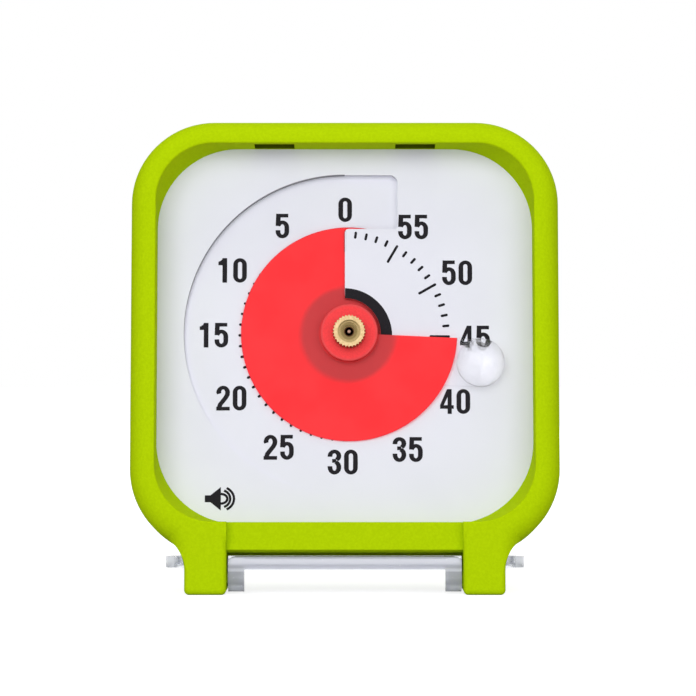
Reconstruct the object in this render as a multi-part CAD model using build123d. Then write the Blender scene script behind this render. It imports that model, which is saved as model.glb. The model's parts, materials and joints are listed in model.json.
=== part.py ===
"""A 60-minute visual countdown timer: a moulded case that stands on two feet and on its folded-back
cover, a slit dial plate, a helical time disc that threads through the slit, and the quartz movement
that turns it.

Every piece is drawn in the case's own frame, in millimetres. X runs right along the dial. Y runs back
from the front lip. Z runs up the dial. The dial's centre is on the Y axis. At the end the whole timer
leans back on its stand, and its origin is the bottom centre of its bounding box.
"""

from build123d import *
from math import acos, asin, atan2, cos, degrees, hypot, pi, radians, sin, sqrt
import os

os.makedirs("parts", exist_ok=True)

# Case outline, as seen from the front
BODY_W = 76.2
BODY_R = 14.8  # outer corners
EDGE_R = 3.5  # rounding of the front edge
LIP_SIDE = 4.5
LIP_TOP = 4.2
LIP_BOTTOM = 5.3
LIP_EDGE_R = 0.3
OPEN_H = 67.5
LIP_CORNER = 4.7  # outer corner's radius less the opening's, at the lip
WELL_CORNER = 0.3  # the same at the dial
DIAL_RAISE = 0.25  # dial centre above the centre of the opening
BODY_H = LIP_BOTTOM + OPEN_H + LIP_TOP

# Case depths, from the lip backwards
RECESS = 6.7  # lip to dial
PARTING = 14.0
DEPTH = 28.6
WALL = 2.0
BACK_WALL = 2.0
BACK_INSET = 0.8  # draft of the rear cover, per side
BACK_R = 2.5
SKIRT_T = 1.0
SKIRT_GAP = 0.1
SKIRT_H = 1.5
BAR_SETBACK = 1.8  # how far the bar between the feet stands back for the cover's tongue

# Feet
FOOT_INNER = 20.85
FOOT_W = 7.4
FOOT_DROP = 7.2  # below the case
FOOT_DEPTH = 10.5
FOOT_BLEND_R = 6.75
FOOT_EDGE_R = 0.9
FLARE_SHIFT = (2.6, 1.95)  # centre of the rounding that fades from the case's edge into the foot's
FLARE_R = 7.4

# Hinge of the clear cover
HINGE_BACK = 4.1  # hinge axis behind the lip
HINGE_RISE = 2.65  # hinge axis above the table
HINGE_PIN_R = 1.35
HINGE_PIN_L = 2.1
HINGE_PIN_CHAMFER = 0.3
KNUCKLE_R = 2.3

# Clear cover, as it lies closed in the opening
COVER_SIDE_GAP = 0.8
COVER_CORNER = 0.5  # opening's corner radius less the cover's
COVER_T = 1.4
COVER_FRONT = 0.2  # outer face behind the lip
COVER_RIM_H = 2.1  # outer face to the rim's edge
COVER_RIM_T = 1.3
COVER_TOP_GAP = 0.7
COVER_BOTTOM_GAP = 0.9
TONGUE_CORNER_R = 1.2
BORE_DEEP = 2.2
ARM_SHY = 0.3  # arm behind the tongue's outer face
TONGUE_GAP = 0.25  # tongue to each foot
ARM_W = 2.85
FLANGE_T = 1.6
FLANGE_H = 2.3
FLANGE_EDGE_R = 0.5  # lets the flange swing past the bar
LUG_W = 5.6
LUG_OUT = 1.1
LUG_SHY = 0.2  # lug short of the rim's edge, so that the rim alone meets the table

# Catches in the top wall of the opening
CATCH_X = 12.6
CATCH_W = 7.1
CATCH_START = 1.5
CATCH_DEEP = 1.25
CATCH_PLAY = 0.1
CATCH_WALL = 0.6  # between the catch and the dial

# Dial plate, film disc and their helix
PLATE_T = 0.6
FILM_T = 0.25
FILM_GAP = 0.12  # film to plate, over the flat and under the slit
FLAT_END = 180.0  # degrees clockwise from the slit where the plate starts to sink
RAMP_DROP = 1.3  # depth of the sunk plate at the slit
CENTRE_HOLE_R = 6.4
SUNK_R = 28.8
SUNK_WALL = 0.6
FILM_R = 19.35
NOTCH_W = 9.45
NOTCH_BOTTOM = 19.0
NOTCH_FLOOR_GAP = 0.3  # floor of the notch to the film's rim
NOTCH_TOP_R = 1.4
NOTCH_LOW_R = 0.5
SLIT_END_R = 0.7
LEADING_EDGE = 92.6  # degrees clockwise from the slit, as stored: a little over 44 minutes
FILM_OVERLAP = 6.0  # degrees of film beyond a full turn
PLATE_POST_HIGH = 16.5
PLATE_POST_LOW = -30.5
PLATE_POST_R = 2.2
PLATE_POST_INSET = 3.5  # post's middle from the movement's side
PLATE_PLAY = 0.3  # plate to the case walls and screw bosses
BOSS_CLEAR = 0.6  # plate to the ends of the screw bosses behind it

# Shaft, a little off the dial's centre
SHAFT_X = 0.75
SHAFT_Z = 0.05

# Disc hub, tab, knob and nut
HUB_R = 4.2
HUB_CAP_R = 5.1
HUB_CAP_T = 0.4
HUB_GAP = 0.08
HUB_RISE = 2.0  # hub face above the dial
HUB_TAIL = 3.4  # hub below the dial
KEYS = 3
KEY_W = 1.2
KEY_OUT = 0.5
HUB_CHAMFER = 0.12
TAB_W = 8.6
TAB_T = 0.6
TAB_LAG = 12.0  # degrees behind the leading edge at which the tab lies level with the film
KNOB_R = TAB_W / 2
KNOB_REACH = 23.7
KNOB_H = 2.6
KNOB_WAIST = 0.9
KNOB_EDGE_R = 0.5
TAB_THICK_FROM = NOTCH_BOTTOM + 0.5
NUT_R = 2.95
NUT_H = 2.2
NUT_KNURLS = 30
NUT_KNURL_DEEP = 0.26
NUT_KNURL_R = 0.26
NUT_CHAMFER = 0.08
NUT_STEP_W = 0.35
NUT_STEP_DEEP = 0.5
WASHER_T = 0.15
WASHER_R = 2.6

# Shafts
TUBE_R = 1.6
TUBE_BORE = 0.75
TUBE_SHY = 0.9  # tube's end behind the nut's face
TUBE_MOUTH_DEEP = 0.3
ARBOR_SHY = 1.1  # arbor's end behind the nut's face
ARBOR_R = 0.35
PIVOT_GAP = 0.05

# Movement
MOVE_ASIDE = 10.1  # case's side to the movement's
MOVE_RISE = 3.9  # movement's lower edge above half the case's height under the shaft
MOVE_ABOVE = 20.4
MOVE_FRONT = 10.3
MOVE_BACK_GAP = 0.2
MOVE_WALL = 1.0
WHEELS_BELOW = 17.6  # from the shaft down to the battery tray
TRAY_SHY = 0.6
CELL_PLAY = 0.5
CELL_ENDS = 5.5  # movement's width less the cell's length
CELL_CAP_R = 2.75
CELL_CAP_L = 1.0
CELL_CHAMFER = 0.4
CONTACT_T = 0.3
CONTACT_HALF_Y = 4.0
CONTACT_HALF_Z = 5.0
BUMP_HALF = 1.5
SPRING_WIRE_R = 0.26
SPRING_WIDE_R = 3.8
SPRING_SLIM_R = 2.6
SPRING_TURNS = 2.0

# Wheels
WHEEL_MODULE = 0.25
CENTRE_TEETH = 64
THIRD_TEETH = 60
PINION_TEETH = 8
WHEEL_T = 0.6
PINION_T = 1.6
THIRD_ANGLE = 225.0  # direction of the third arbor from the shaft, anticlockwise from +X seen from the front
BRIDGE_T = 1.0
ARBOR_THICK = 0.5
CENTRE_BOSS_R = 2.6
CENTRE_BOSS_T = 1.8
SPOKE_HOLES = 5
SPOKE_HOLE_R = 1.3
CENTRE_HOLES_AT = 4.9
THIRD_HOLES_AT = 4.6
SECOND_TEETH = 60
SECOND_MODULE = 0.2
BRIDGE_LEFT = -16.0
BRIDGE_LOW, BRIDGE_HIGH = -16.2, 19.0
BRIDGE_SHY = 1.4  # bridge to the movement's side
POST_LEFT = -13.5
POST_INSET = 4.0
POST_LOW, POST_HIGH = -13.5, 16.5
POST_R = 2.0
POST_SPIGOT_R = 0.9
PIVOT_BOSS_R = 1.4

# Motor and electronics
ROTOR_X = 12.0
ROTOR_Z = 12.3
ROTOR_R = 1.6
STATOR_LEFT = 2.0
STATOR_OVER = 0.3  # stator past the coil's flange
STATOR_LOW, STATOR_HIGH = 9.8, 14.8
STATOR_RING = 2.0
STATOR_GAP = 0.3
COIL_Z = 15.6
COIL_LEFT = 6.0
COIL_FLANGE_T = 1.2
COIL_GAP = 0.8  # coil's flange to the bridge post
BOARD_LEFT = -4.0
BOARD_SHY = 2.0  # board to the movement's side
BOARD_Z = (-15.5, 18.5)
BOARD_GAP = 0.2
BOARD_T = 1.0
CHIP_X = (6.0, 16.0)
CHIP_Z = (-8.0, 0.0)
BUZZER_R = 6.6
BUZZER_INSET = 9.0
BUZZER_Z = 11.5
BUZZER_HOLE_R = 0.9
BUZZER_HOLE_DEEP = 0.5

# Rear cover fittings
SCREW_INSET = 6.7  # from the case's sides
SCREW_BOSS_R = 2.2
SCREW_R = 0.9
SCREW_HEAD_R = 1.9
SCREW_HEAD_H = 1.2
SCREW_TIP = 10.2  # screw's point behind the lip
SCREW_HEAD_CHAMFER = 0.4
SCREW_SLOT = (2.2, 1.2, 0.4)
SCREW_SUNK = 0.2
SCREW_PLAY = 0.15
DOOR_SHY = 1.5  # movement's side to the door's
DOOR_OVER = 0.5  # door's height past the tray's
DOOR_GAP = 0.2
DOOR_LEDGE = 1.0
DOOR_R = 1.5
DOOR_RIB_T = 1.0
DOOR_RIB_R = 1.0
GRIP_W = 10.0
GRIP_H = 0.7
GRIP_DEEP = 0.4
GRIP_PITCH = 1.5
GRIP_BELOW = 3.2
BRACES = (-20.0, 0.0, 20.0)
BRACE_T = 1.2
SOUND_SLOTS = 5
SOUND_SLOT_W = 9.0
SOUND_SLOT_H = 1.2
SOUND_SLOT_R = 0.55
SOUND_SLOT_PITCH = 2.4
SOUND_SLOT_X = -14.0
SOUND_SLOT_Z = 12.0
SWITCH_INSET = 6.7
SWITCH_Z = -2.0
SWITCH_TRAVEL = 2.5
SWITCH_SLOT_W = 2.4
SWITCH_SLOT_R = 0.3
SWITCH_KEY_H = 2.8
SWITCH_KEY_HALF = 1.0
SWITCH_KEY_DEEP = 1.4
SWITCH_KEY_PROUD = 0.6
SWITCH_BODY_HALF = 1.9
SWITCH_BODY_HIGH = 4.3
SWITCH_BODY_T = 3.5
SWITCH_PLAY = 0.1

# Worked-out places
OPEN_W = BODY_W - 2 * LIP_SIDE
OPEN_R = BODY_R - LIP_CORNER
WELL_R = BODY_R - WELL_CORNER
COVER_W = OPEN_W - 2 * COVER_SIDE_GAP
COVER_R = OPEN_R - COVER_CORNER
OPEN_Z = -DIAL_RAISE
BODY_Z = OPEN_Z - (LIP_BOTTOM - LIP_TOP) / 2
CASE_BOTTOM = BODY_Z - BODY_H / 2
OPEN_TOP = OPEN_Z + OPEN_H / 2
OPEN_BOTTOM = OPEN_Z - OPEN_H / 2
FOOT_OUTER = FOOT_INNER + FOOT_W
SWITCH_X = BODY_W / 2 - SWITCH_INSET

# Worked-out places in the movement. What stacks up in its depth takes shares of that depth.
MOVE_W = BODY_W - 2 * MOVE_ASIDE
MOVE_BELOW = BODY_H / 2 - MOVE_RISE
MOVE_BACK = DEPTH - BACK_WALL - MOVE_BACK_GAP
MOVE_DEPTH = MOVE_BACK - MOVE_FRONT
CENTRE_WHEEL_Y = MOVE_FRONT + 0.168 * MOVE_DEPTH
THIRD_WHEEL_Y = MOVE_FRONT + 0.354 * MOVE_DEPTH
SECOND_WHEEL_Y = MOVE_FRONT + 0.503 * MOVE_DEPTH
MOVE_SPLIT = SECOND_WHEEL_Y
BRIDGE_Y = MOVE_FRONT + 0.627 * MOVE_DEPTH
ROTOR_FRONT, ROTOR_BACK = MOVE_FRONT + 0.168 * MOVE_DEPTH, MOVE_FRONT + 0.267 * MOVE_DEPTH
STATOR_FRONT, STATOR_BACK = MOVE_FRONT + 0.18 * MOVE_DEPTH, MOVE_FRONT + 0.242 * MOVE_DEPTH
COIL_Y = MOVE_FRONT + 0.441 * MOVE_DEPTH
COIL_R = 0.16 * MOVE_DEPTH
COIL_FLANGE = 0.36 * MOVE_DEPTH
CHIP_T = 0.075 * MOVE_DEPTH
BUZZER_T = 0.21 * MOVE_DEPTH
TRAY_H = MOVE_BELOW - WHEELS_BELOW
TRAY_BACK = MOVE_BACK - TRAY_SHY
CELL_R = min(TRAY_BACK - MOVE_FRONT - MOVE_WALL, TRAY_H - 2 * MOVE_WALL - CELL_PLAY) / 2
CELL_L = MOVE_W - CELL_ENDS
CELL_Y = MOVE_FRONT + MOVE_WALL + CELL_R
PLATE_POST_X = MOVE_W / 2 - PLATE_POST_INSET
POST_X = MOVE_W / 2 - POST_INSET
BRIDGE_POSTS = [(POST_LEFT, POST_HIGH), (POST_X, POST_LOW), (POST_X, POST_HIGH)]
BRIDGE_RIGHT = MOVE_W / 2 - BRIDGE_SHY
COIL_RIGHT = POST_X - POST_R - COIL_GAP - COIL_FLANGE_T
STATOR_RIGHT = COIL_RIGHT + COIL_FLANGE_T + STATOR_OVER
BOARD_X = (BOARD_LEFT, MOVE_W / 2 - BOARD_SHY)
BUZZER_X = BUZZER_INSET - MOVE_W / 2
DOOR_W = MOVE_W - 2 * DOOR_SHY
DOOR_H = TRAY_H + DOOR_OVER
SCREW_HEAD_Y = DEPTH - SCREW_HEAD_H - SCREW_SUNK

# The helix. Height above the dial of the film's underside falls by FILM_PITCH in each clockwise turn.
FILM_PITCH = (FILM_T + PLATE_T + 2 * FILM_GAP) / (1 - FLAT_END / 360)
FILM_START = FILM_GAP + FILM_PITCH * FLAT_END / 360
RAMP_PITCH = RAMP_DROP * 360 / (360 - FLAT_END)


def film_height(degrees_clockwise):
    """Height of the film's underside above the dial, at an angle clockwise from the slit."""
    return FILM_START - FILM_PITCH * degrees_clockwise / 360


# The stand. The open cover's outer face meets the rounded lower back edge of the case, and its far rim
# meets the table, which together set how far the cover opens and how far the timer leans back.
COVER_REST_GAP = 0.2
HINGE_Z = CASE_BOTTOM - FOOT_DROP + HINGE_RISE
FACE_OFFSET = HINGE_BACK - COVER_FRONT
RIM_OFFSET = FACE_OFFSET - COVER_RIM_H
COVER_TOP = OPEN_TOP - COVER_TOP_GAP
COVER_BOTTOM = OPEN_BOTTOM + COVER_BOTTOM_GAP
COVER_REACH = COVER_TOP - HINGE_Z
STAND_SLOPE = degrees(
    asin(HINGE_RISE / hypot(COVER_REACH, RIM_OFFSET)) + atan2(RIM_OFFSET, COVER_REACH)
)
EDGE_BACK = DEPTH - BACK_R - HINGE_BACK
EDGE_UP = CASE_BOTTOM + BACK_INSET + BACK_R - HINGE_Z
STAND_TILT = degrees(
    acos((FACE_OFFSET + BACK_R + COVER_REST_GAP) / hypot(EDGE_BACK, EDGE_UP)) - atan2(EDGE_BACK, EDGE_UP)
)
LEAN = STAND_SLOPE + STAND_TILT
COVER_OPEN = 270 + STAND_TILT


def layer(sketch, front, back):
    """A front-view sketch made solid from one depth to another."""
    face = Plane(origin=(0, back, 0), x_dir=(1, 0, 0), z_dir=(0, -1, 0))
    return extrude(face * sketch, amount=back - front)


def across(sketch, left, right):
    """A side-view sketch, drawn in Y and Z, made solid from one X to another."""
    side = Plane(origin=(left, 0, 0), x_dir=(0, 1, 0), z_dir=(1, 0, 0))
    return extrude(side * sketch, amount=right - left)


def block(x, y, z):
    """A box from its pairs of limits along X, Y and Z."""
    centre = ((x[0] + x[1]) / 2, (y[0] + y[1]) / 2, (z[0] + z[1]) / 2)
    return Pos(*centre) * Box(x[1] - x[0], y[1] - y[0], z[1] - z[0])


def rod(radius, front, back, x=0.0, z=0.0):
    """A round bar along Y."""
    return layer(Pos(x, z) * Circle(radius), front, back)


def tube(radius, bore, front, back, x=0.0, z=0.0):
    """A round tube along Y."""
    return layer(Pos(x, z) * (Circle(radius) - Circle(bore)), front, back)


def rounded(width, height, radius, z=0.0, x=0.0):
    """A rounded rectangle in a front view."""
    return Pos(x, z) * RectangleRounded(width, height, radius)


def front_loft(near, near_y, far, far_y):
    """A straight-sided loft between two front-view sketches at two depths."""
    planes = [Plane(origin=(0, y, 0), x_dir=(1, 0, 0), z_dir=(0, -1, 0)) for y in (near_y, far_y)]
    return loft([planes[0] * near, planes[1] * far], ruled=True)


def helical(r_in, r_out, high, low, start, end, pitch):
    """A helical ribbon: its radial section, between two heights above the dial at the slit, turns
    clockwise from one angle to another and sinks by the pitch in each turn."""
    middle = (r_in + r_out) / 2
    path = Edge.make_helix(pitch, pitch * (end - start) / 360, middle)
    section = Plane.XZ * Pos(middle, -(high + low) / 2) * Rectangle(r_out - r_in, high - low)
    ribbon = Rot(0, 0, start) * Pos(0, 0, pitch * start / 360) * sweep(section, path=path, is_frenet=True)
    return Plane(origin=(0, RECESS, 0), x_dir=(0, 0, 1), z_dir=(0, 1, 0)) * ribbon


def gear_sketch(teeth, module, phase=0.0):
    """A wheel or pinion with slim straight-flanked teeth. The first tooth is at the phase angle."""
    pitch_r = module * teeth / 2
    root_r = pitch_r - 1.15 * module
    tip_r = pitch_r + 0.85 * module
    step = 360 / teeth
    points = []
    for k in range(teeth):
        middle = phase + k * step
        for radius, share in ((root_r, -0.34), (tip_r, -0.1), (tip_r, 0.1), (root_r, 0.34)):
            angle = radians(middle + share * step)
            points.append((radius * cos(angle), radius * sin(angle)))
    return make_face(Polyline(*points, close=True))


# ---------------------------------------------------------------- case


def foot_sketch(side):
    """One foot, with its blend into the rounded corner of the case."""
    corner_x = BODY_W / 2 - BODY_R
    corner_z = CASE_BOTTOM + BODY_R
    blend_x = FOOT_OUTER + FOOT_BLEND_R
    reach = BODY_R + FOOT_BLEND_R
    blend_z = corner_z - sqrt(reach**2 - (blend_x - corner_x) ** 2)
    touch_x = corner_x + (blend_x - corner_x) * BODY_R / reach
    touch_z = corner_z + (blend_z - corner_z) * BODY_R / reach
    middle = atan2(touch_z - blend_z, touch_x - blend_x) / 2 + pi / 2
    bend = (blend_x + FOOT_BLEND_R * cos(middle), blend_z + FOOT_BLEND_R * sin(middle))
    top = CASE_BOTTOM + EDGE_R + 1.0
    sole = CASE_BOTTOM - FOOT_DROP - 3.0
    outline = Polyline(
        (touch_x, touch_z), (FOOT_OUTER, top), (FOOT_INNER, top), (FOOT_INNER, sole), (FOOT_OUTER, sole),
        (FOOT_OUTER, blend_z),
    )
    face = make_face(outline + ThreePointArc((FOOT_OUTER, blend_z), bend, (touch_x, touch_z)))
    return face if side > 0 else mirror(face, Plane.YZ)


def below_table():
    """Everything under the table, in the case's frame."""
    table = HINGE_Z * cos(radians(LEAN)) - HINGE_BACK * sin(radians(LEAN)) - HINGE_RISE
    return Rot(LEAN, 0, 0) * block((-BODY_W, BODY_W), (-DEPTH, 3 * DEPTH), (table - DEPTH, table))


def front_bezel():
    """Front case moulding: lip, sloped well, thin side walls, screw bosses, feet and hinge pins."""
    outer = layer(rounded(BODY_W, BODY_H, BODY_R, BODY_Z), 0, PARTING)
    outer = fillet(outer.faces().sort_by(Axis.Y)[0].edges(), EDGE_R)
    slope = (WELL_R - OPEN_R) / RECESS
    lead = 0.5
    well = front_loft(
        rounded(OPEN_W, OPEN_H, OPEN_R - slope * lead, OPEN_Z), -lead,
        rounded(OPEN_W, OPEN_H, WELL_R + slope * lead, OPEN_Z), RECESS + lead,
    )
    case = outer - well
    lip = case.faces().sort_by(Axis.Y)[0]
    case = fillet(lip.inner_wires()[0].edges(), LIP_EDGE_R)
    for side in (-1, 1):
        case -= block(
            (side * CATCH_X - CATCH_W / 2, side * CATCH_X + CATCH_W / 2),
            (CATCH_START, RECESS - CATCH_WALL), (OPEN_TOP - 0.5, OPEN_TOP + CATCH_DEEP),
        )
    case -= block((-FOOT_INNER, FOOT_INNER), (-1, BAR_SETBACK), (CASE_BOTTOM - 1, OPEN_BOTTOM + 1))
    for side in (-1, 1):
        case += foot(side)
    cavity = rounded(BODY_W - 2 * WALL, BODY_H - 2 * WALL, BODY_R - WALL, BODY_Z)
    case -= layer(cavity, RECESS, PARTING + 1)
    boss_front = RECESS + PLATE_T + BOSS_CLEAR
    for x, z in screw_places():
        case += rod(SCREW_BOSS_R, boss_front, PARTING, x, z)
        case -= rod(SCREW_R, boss_front + 1, PARTING + 1, x, z)
    return case


def foot(side):
    """A foot, cut level with the table, and the hinge pin on its inner face."""
    leg = layer(foot_sketch(side), 0, FOOT_DEPTH) - below_table()
    sole = leg.faces().sort_by(Axis.Z)[0]
    front_edges = leg.edges().filter_by(
        lambda edge: abs(edge.center().Y) < 0.01 and edge.center().Z < CASE_BOTTOM - 1
    )
    leg = fillet(sole.edges().filter_by(lambda edge: edge.length > FOOT_W + 1) + front_edges, FOOT_EDGE_R)
    rounding = flare_rounding()
    leg -= rounding if side > 0 else mirror(rounding, Plane.YZ)
    pin = across(
        Pos(HINGE_BACK, HINGE_Z) * Circle(HINGE_PIN_R), FOOT_INNER - HINGE_PIN_L, FOOT_INNER + 0.5
    )
    pin = chamfer(pin.edges().sort_by(Axis.X)[0], HINGE_PIN_CHAMFER)
    return leg + (pin if side > 0 else mirror(pin, Plane.YZ))


def flare_rounding():
    """What the right foot's flare loses at the front, so that the case's rounded edge runs out into it."""
    blend_x = FOOT_OUTER + FOOT_BLEND_R
    corner_x = BODY_W / 2 - BODY_R
    blend_z = CASE_BOTTOM + BODY_R - sqrt((BODY_R + FOOT_BLEND_R) ** 2 - (blend_x - corner_x) ** 2)
    reach = FLARE_R + EDGE_R
    profile = Pos(reach / 2, (EDGE_R - 1) / 2) * Rectangle(reach, EDGE_R + 1)
    profile -= Pos(reach, EDGE_R) * Circle(EDGE_R)
    return Pos(blend_x + FLARE_SHIFT[0], 0, blend_z + FLARE_SHIFT[1]) * revolve(profile, Axis.Y)


def screw_places():
    """The four case screws, about the middle of the case."""
    x, z = BODY_W / 2 - SCREW_INSET, BODY_H / 2 - SCREW_INSET
    return [(right, BODY_Z + up) for right in (-x, x) for up in (-z, z)]


def back_ring(inset, depth_inset=0.0):
    """The rear cover's outline at the parting line and at the back, both stepped in by an inset."""
    near = rounded(BODY_W - 2 * inset, BODY_H - 2 * inset, BODY_R - inset, BODY_Z)
    far_inset = inset + BACK_INSET
    far = rounded(BODY_W - 2 * far_inset, BODY_H - 2 * far_inset, BODY_R - far_inset, BODY_Z)
    return front_loft(near, PARTING, far, DEPTH - depth_inset)


def door_z():
    """Height of the middle of the battery door."""
    return TRAY_H / 2 - MOVE_BELOW


def rear_cover():
    """Rear case moulding: drafted shell, skirt, screw posts, ribs, battery opening and sound slots."""
    shell = back_ring(0)
    shell = fillet(shell.faces().sort_by(Axis.Y)[-1].edges(), BACK_R)
    shell -= back_ring(WALL, BACK_WALL)
    outside, inside = (
        rounded(BODY_W - 2 * inset, BODY_H - 2 * inset, BODY_R - inset, BODY_Z)
        for inset in (WALL + SKIRT_GAP, WALL + SKIRT_GAP + SKIRT_T)
    )
    skirt = layer(outside - inside, PARTING - SKIRT_H, PARTING + 2)
    for x, z in screw_places():
        skirt -= rod(SCREW_BOSS_R + 2 * SKIRT_GAP, PARTING - SKIRT_H - 1, PARTING, x, z)
    cover = shell + skirt
    for x, z in screw_places():
        cover += rod(SCREW_BOSS_R, PARTING, DEPTH - BACK_WALL, x, z)
    for x, z in screw_places():
        cover -= rod(SCREW_R + 0.1, PARTING - 1, DEPTH + 1, x, z)
        cover -= rod(SCREW_HEAD_R + SCREW_PLAY, SCREW_HEAD_Y, DEPTH + 1, x, z)
    for x in BRACES:
        sides = (x - BRACE_T / 2, x + BRACE_T / 2)
        cover += block(sides, (MOVE_BACK, DEPTH - BACK_WALL + 0.2), (0, MOVE_ABOVE - 1))
    ledge_w, ledge_h = DOOR_W - 2 * DOOR_LEDGE, DOOR_H - 2 * DOOR_LEDGE
    cover -= layer(rounded(ledge_w, ledge_h, 1.0, door_z()), MOVE_BACK - 2, DEPTH + 1)
    cover -= layer(rounded(DOOR_W, DOOR_H, DOOR_R, door_z()), DEPTH - BACK_WALL / 2, DEPTH + 1)
    slot_h = SWITCH_KEY_H + SWITCH_TRAVEL + 2 * SWITCH_PLAY
    slots = rounded(SWITCH_SLOT_W, slot_h, SWITCH_SLOT_R, SWITCH_Z, -SWITCH_X)
    for k in range(SOUND_SLOTS):
        slot_z = SOUND_SLOT_Z + SOUND_SLOT_PITCH * (k - (SOUND_SLOTS - 1) / 2)
        slots += rounded(SOUND_SLOT_W, SOUND_SLOT_H, SOUND_SLOT_R, slot_z, SOUND_SLOT_X)
    return cover - layer(slots, DEPTH - BACK_WALL - 1, DEPTH + 1)


def case_screws():
    """Four pan-head screws that hold the two case mouldings together."""
    screws = []
    for x, z in screw_places():
        head = rod(SCREW_HEAD_R, SCREW_HEAD_Y, DEPTH - SCREW_SUNK, x, z)
        head = chamfer(head.edges().sort_by(Axis.Y)[-1], SCREW_HEAD_CHAMFER)
        for spin in (0, 90):
            head -= Pos(x, DEPTH, z) * Rot(0, spin, 0) * Box(*SCREW_SLOT)
        screws.append(head + rod(SCREW_R, SCREW_TIP, SCREW_HEAD_Y + 0.1, x, z))
    return Compound(children=screws)


def battery_door():
    """Battery door, lying flush in the rebate of the rear cover."""
    door = layer(
        rounded(DOOR_W - 2 * DOOR_GAP, DOOR_H - 2 * DOOR_GAP, DOOR_R - DOOR_GAP, door_z()),
        DEPTH - BACK_WALL / 2, DEPTH,
    )
    inner_w = DOOR_W - 2 * DOOR_LEDGE - 2 * DOOR_GAP
    inner_h = DOOR_H - 2 * DOOR_LEDGE - 2 * DOOR_GAP
    rib = rounded(inner_w, inner_h, DOOR_RIB_R, door_z())
    rib -= Pos(0, door_z()) * Rectangle(inner_w - 2 * DOOR_RIB_T, inner_h - 2 * DOOR_RIB_T)
    door += layer(rib, DEPTH - BACK_WALL, DEPTH - BACK_WALL / 2)
    grip_z = door_z() + DOOR_H / 2 - GRIP_BELOW
    for k in range(3):
        groove = Pos(0, grip_z - GRIP_PITCH * k) * Rectangle(GRIP_W, GRIP_H)
        door -= layer(groove, DEPTH - GRIP_DEEP, DEPTH + 1)
    return door


# ---------------------------------------------------------------- clear cover


def clear_cover():
    """Clear cover, drawn closed: a rimmed plate, a tongue that passes in front of the bar, and two arms
    under it that reach back to the hinge."""
    height = COVER_TOP - COVER_BOTTOM
    middle = (COVER_TOP + COVER_BOTTOM) / 2
    outline = rounded(COVER_W, height, COVER_R, middle)
    inner = rounded(COVER_W - 2 * COVER_RIM_T, height - 2 * COVER_RIM_T, COVER_R - COVER_RIM_T, middle)
    back = COVER_FRONT + COVER_T
    rim = COVER_FRONT + COVER_RIM_H
    plate = layer(outline, COVER_FRONT, rim) - layer(inner, back, rim + 1)
    tongue_x = FOOT_INNER - TONGUE_GAP
    flange_z = HINGE_Z - KNUCKLE_R
    tongue_h = COVER_BOTTOM + 2 * COVER_RIM_T - flange_z
    tongue = layer(
        Pos(0, flange_z + tongue_h / 2) * Rectangle(2 * tongue_x, tongue_h), COVER_FRONT, back
    )
    flange = block(
        (-tongue_x, tongue_x), (COVER_FRONT, COVER_FRONT + FLANGE_H), (flange_z, flange_z + FLANGE_T)
    )
    cover = plate + tongue + flange
    corners = cover.edges().filter_by(Axis.Z).filter_by(
        lambda e: abs(e.center().Y - COVER_FRONT) < 0.01 and e.center().Z < COVER_BOTTOM
    )
    cover = fillet(corners, TONGUE_CORNER_R)
    toe = cover.edges().filter_by(Axis.X).group_by(Axis.Z)[0].sort_by(Axis.Y)[0]
    cover = fillet(toe, FLANGE_EDGE_R)
    arm_side = Pos(HINGE_BACK, HINGE_Z) * Circle(KNUCKLE_R) + Pos(
        (COVER_FRONT + ARM_SHY + HINGE_BACK) / 2, HINGE_Z - KNUCKLE_R / 2
    ) * Rectangle(HINGE_BACK - COVER_FRONT - ARM_SHY, KNUCKLE_R)
    bore = across(
        Pos(HINGE_BACK, HINGE_Z) * Circle(HINGE_PIN_R + PIVOT_GAP), tongue_x - BORE_DEEP, tongue_x + 1
    )
    for side in (-1, 1):
        arm = across(arm_side, tongue_x - ARM_W, tongue_x)
        cover += arm if side > 0 else mirror(arm, Plane.YZ)
        cover -= bore if side > 0 else mirror(bore, Plane.YZ)
        cover += block(
            (side * CATCH_X - LUG_W / 2, side * CATCH_X + LUG_W / 2),
            (CATCH_START + CATCH_PLAY, rim - LUG_SHY), (COVER_TOP - 0.5, COVER_TOP + LUG_OUT),
        )
    return Pos(0, HINGE_BACK, HINGE_Z) * Rot(COVER_OPEN, 0, 0) * Pos(0, -HINGE_BACK, -HINGE_Z) * cover


# ---------------------------------------------------------------- dial and disc


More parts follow.
